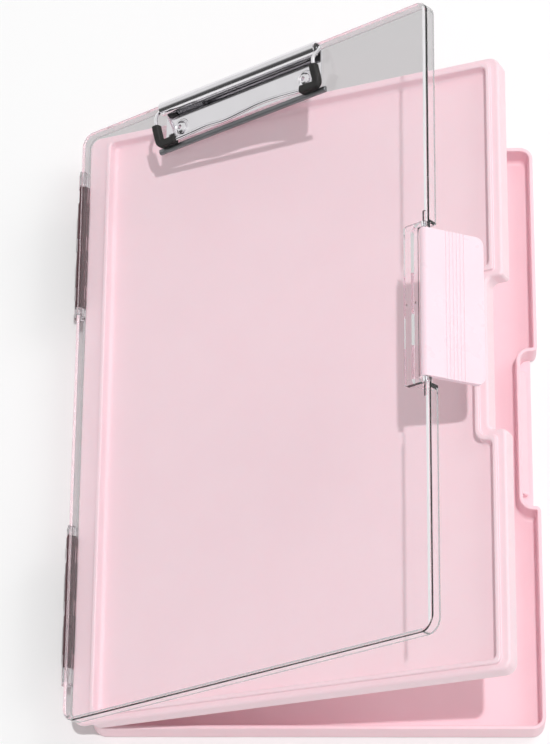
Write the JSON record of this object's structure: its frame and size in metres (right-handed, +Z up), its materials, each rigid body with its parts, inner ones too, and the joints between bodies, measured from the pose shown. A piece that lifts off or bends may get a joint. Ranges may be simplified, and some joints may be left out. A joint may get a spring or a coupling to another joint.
{
  "type": "storage clipboard box",
  "caption": "Storage clipboard box: shallow base, middle tray and clear lid hinged at the left, a side latch flap and a low wire clip on the lid.",
  "frame": {"origin": "middle of the base's bottom face", "axes": "+X from the hinge side to the latch side, +Y towards the clip end, +Z up from the face it rests on"},
  "size_m": [0.2528, 0.34, 0.184],
  "materials": {
    "pink_case": "satin moulded pink plastic",
    "pink_tray": "satin moulded pale pink plastic",
    "pale_pink": "smooth very pale pink plastic with fine grooves",
    "hinge_pink": "greyish pink moulded plastic",
    "hinge_dark": "dark maroon moulded plastic",
    "clear_plastic": "clear polished plastic",
    "chrome": "polished chrome plate",
    "grey_steel": "dull grey nickel",
    "steel_pin": "bright drawn steel",
    "black_plastic": "black moulded plastic",
    "black_rubber": "soft matt black rubber"
  },
  "bodies": {
    "base": {"base_case": "pink_case", "base_hinge_upper": "hinge_dark", "base_hinge_lower": "hinge_dark"},
    "tray": {"middle_tray": "pink_tray", "tray_hinge_upper": "hinge_pink", "tray_hinge_lower": "hinge_pink", "hinge_pin_upper": "steel_pin", "hinge_pin_lower": "steel_pin"},
    "lid": {"clear_lid": "clear_plastic", "lid_hinge_upper": "hinge_dark", "lid_hinge_lower": "hinge_dark", "latch_pin": "steel_pin", "clip_plate": "chrome", "clip_rivets": "chrome", "clip_washers": "steel_pin", "clip_bushes": "black_plastic", "clip_spring": "steel_pin"},
    "latch": {"latch_flap": "pale_pink"},
    "jaw": {"clip_wire": "chrome", "clip_jaw": "grey_steel", "clip_grip_left": "black_rubber", "clip_grip_right": "black_rubber"}
  },
  "joints": [
    {"name": "tray_hinge", "type": "hinge", "parent": "base", "child": "tray", "pos_m": [-0.1227, 0, 0.0182], "axis": [0, -1, 0], "range_deg": [-23.5, 56.5]},
    {"name": "lid_hinge", "type": "hinge", "parent": "tray", "child": "lid", "pos_m": [-0.1302, 0, 0.02039], "axis": [0, -1, 0], "range_deg": [-15.5, 74.5]},
    {"name": "latch_hinge", "type": "hinge", "parent": "lid", "child": "latch", "pos_m": [0.05406, 0, 0.18169], "axis": [0, -1, 0], "range_deg": [-25, 79]},
    {"name": "jaw_hinge", "type": "hinge", "parent": "lid", "child": "jaw", "pos_m": [-0.04257, 0.163, 0.10859], "axis": [-0.7771, 0, -0.6293], "range_deg": [0, 35], "stiffness_Nm_per_rad": 0.05, "springref_deg": -20.05}
  ]
}
